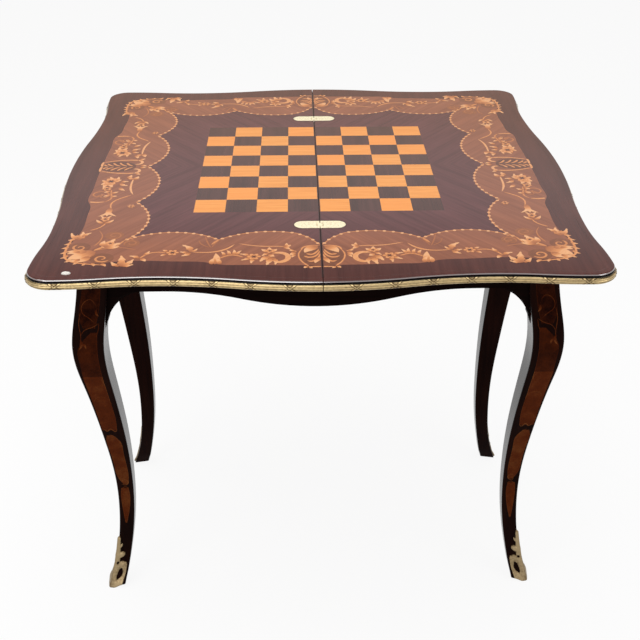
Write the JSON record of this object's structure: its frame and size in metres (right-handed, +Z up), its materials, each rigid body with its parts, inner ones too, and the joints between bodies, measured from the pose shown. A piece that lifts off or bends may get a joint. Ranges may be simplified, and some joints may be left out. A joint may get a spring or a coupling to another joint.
{
  "type": "fold-over game table",
  "caption": "Serpentine game table on cabriole legs with brass shoes; its inlaid top of hinged leaves opens to a chess board and swivels over a shallow well.",
  "frame": {"origin": "on the floor below the centre of the chess board, at the middle of the open top", "axes": "+Z up, +X to the right leaf, +Y to the back, so the seam between the leaves runs along Y"},
  "size_m": [0.827, 0.85, 0.7628],
  "materials": {
    "core_wood": "close-grained oak core, edges stained",
    "backing_veneer": "plain dark veneer, satin",
    "lipping_wood": "dark red-brown moulding, polished",
    "band_brass": "reeded brass, polished on the ribs",
    "margin_veneer": "very dark veneer, polished",
    "border_veneer": "red-brown veneer with inlay, polished",
    "field_veneer": "dark purple-brown figured veneer, polished",
    "light_veneer": "golden satinwood veneer, polished",
    "dark_veneer": "dark purple-brown veneer, polished",
    "leg_wood": "dark veneered wood, polished",
    "apron_wood": "dark veneered wood, polished",
    "well_wood": "plain oak, oiled",
    "gilt_brass": "gilt cast brass with brown patina",
    "plate_brass": "pale brass, lightly worn",
    "steel": "turned steel, dull",
    "baize": "green baize",
    "bumper_leather": "pale hide"
  },
  "bodies": {
    "base": {"front_left_leg": "leg_wood", "front_right_leg": "leg_wood", "back_left_leg": "leg_wood", "back_right_leg": "leg_wood", "front_left_sabot": "gilt_brass", "front_right_sabot": "gilt_brass", "back_left_sabot": "gilt_brass", "back_right_sabot": "gilt_brass", "front_apron": "apron_wood", "back_apron": "apron_wood", "left_apron": "apron_wood", "right_apron": "apron_wood", "well_floor": "well_wood", "well_ledgers": "well_wood", "baize_strips": "baize", "pivot_rail": "well_wood", "pivot_bush": "plate_brass", "stop_block": "well_wood"},
    "right_leaf": {"right_leaf_core": "core_wood", "right_leaf_backing": "backing_veneer", "right_leaf_lipping": "lipping_wood", "right_leaf_band": "band_brass", "right_margin_veneer": "margin_veneer", "right_border_veneer": "border_veneer", "right_field_veneer": "field_veneer", "right_light_squares": "light_veneer", "right_dark_squares": "dark_veneer", "front_right_hinge_plate": "plate_brass", "back_right_hinge_plate": "plate_brass", "right_hinge_screws": "plate_brass", "right_hinge_pins": "plate_brass", "pivot_plate": "steel", "pivot_screws": "steel", "pivot_washer": "steel", "pivot_nut": "steel", "stop_dowel": "well_wood"},
    "hinge_links": {"front_hinge_link": "plate_brass", "back_hinge_link": "plate_brass"},
    "left_leaf": {"left_leaf_core": "core_wood", "left_leaf_backing": "backing_veneer", "left_leaf_lipping": "lipping_wood", "left_leaf_band": "band_brass", "left_margin_veneer": "margin_veneer", "left_border_veneer": "border_veneer", "left_field_veneer": "field_veneer", "left_light_squares": "light_veneer", "left_dark_squares": "dark_veneer", "front_left_hinge_plate": "plate_brass", "back_left_hinge_plate": "plate_brass", "left_hinge_screws": "plate_brass", "left_hinge_pins": "plate_brass", "leaf_bumper": "bumper_leather"}
  },
  "joints": [
    {"name": "top_swivel", "type": "hinge", "parent": "base", "child": "right_leaf", "pos_m": [0.10278, 0.10278, 0.745], "axis": [0, 0, 1], "range_deg": [-90, 0]},
    {"name": "link_fold", "type": "hinge", "parent": "right_leaf", "child": "hinge_links", "pos_m": [0.0032, 0, 0.7584], "axis": [0, 1, 0], "range_deg": [0, 90]},
    {"name": "leaf_fold", "type": "hinge", "parent": "hinge_links", "child": "left_leaf", "pos_m": [-0.0032, 0, 0.7584], "axis": [0, 1, 0], "range_deg": [0, 90]}
  ]
}
